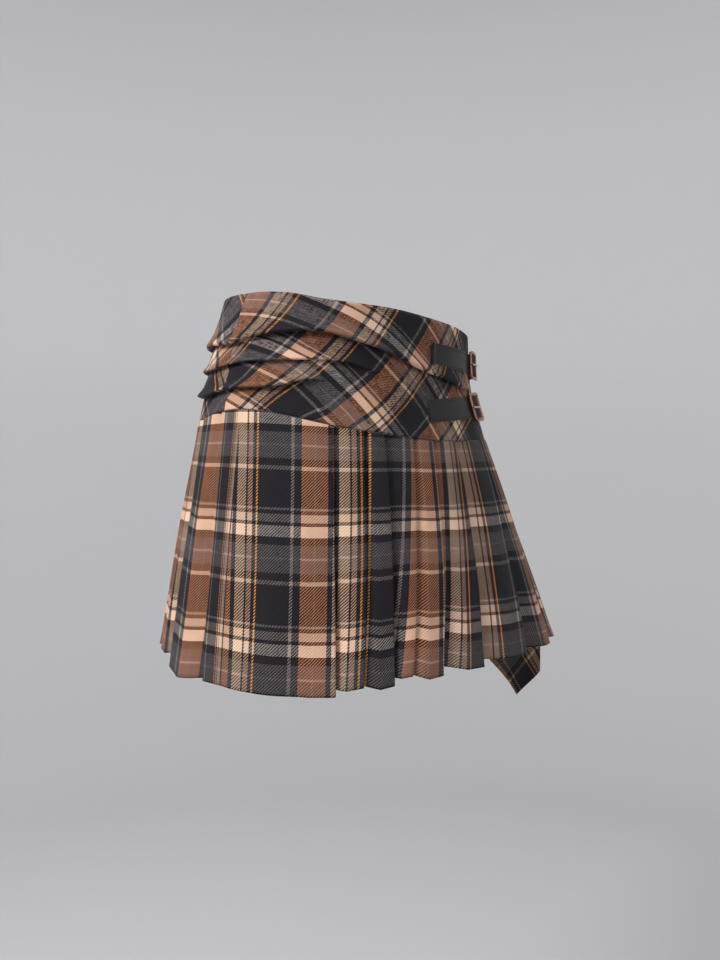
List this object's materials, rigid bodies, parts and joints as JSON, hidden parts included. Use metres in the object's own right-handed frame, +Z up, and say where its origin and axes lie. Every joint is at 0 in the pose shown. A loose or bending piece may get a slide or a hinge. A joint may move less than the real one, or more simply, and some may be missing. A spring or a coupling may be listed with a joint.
{
  "type": "pleated mini skirt",
  "caption": "Plaid knife-pleated mini skirt in its worn shape, with a tucked bias hip yoke, a flat apron panel, a pointed side tail and buckled leather straps.",
  "frame": {"origin": "middle of the waist opening, at the mean height of the waist edge", "axes": "+Z up the worn skirt out of the waist, +X towards the wearer's left side, -Y towards the wearer's front"},
  "size_m": [0.4212, 0.3319, 0.398],
  "materials": {
    "plaid": "soft matt woven twill in brown, black, grey and cream checks",
    "leather": "smooth black leather with a low sheen",
    "buckle_metal": "antique copper-coloured polished metal",
    "prong_metal": "plain silver-coloured metal"
  },
  "bodies": {
    "root": {"yoke_front": "plaid", "yoke_back": "plaid", "skirt_front": "plaid", "skirt_back": "plaid", "side_sash": "plaid", "strap_upper": "leather", "strap_lower": "leather", "chape_upper": "leather", "chape_lower": "leather", "buckle_upper": "buckle_metal", "buckle_lower": "buckle_metal", "prong_upper": "prong_metal", "prong_lower": "prong_metal"}
  },
  "joints": []
}
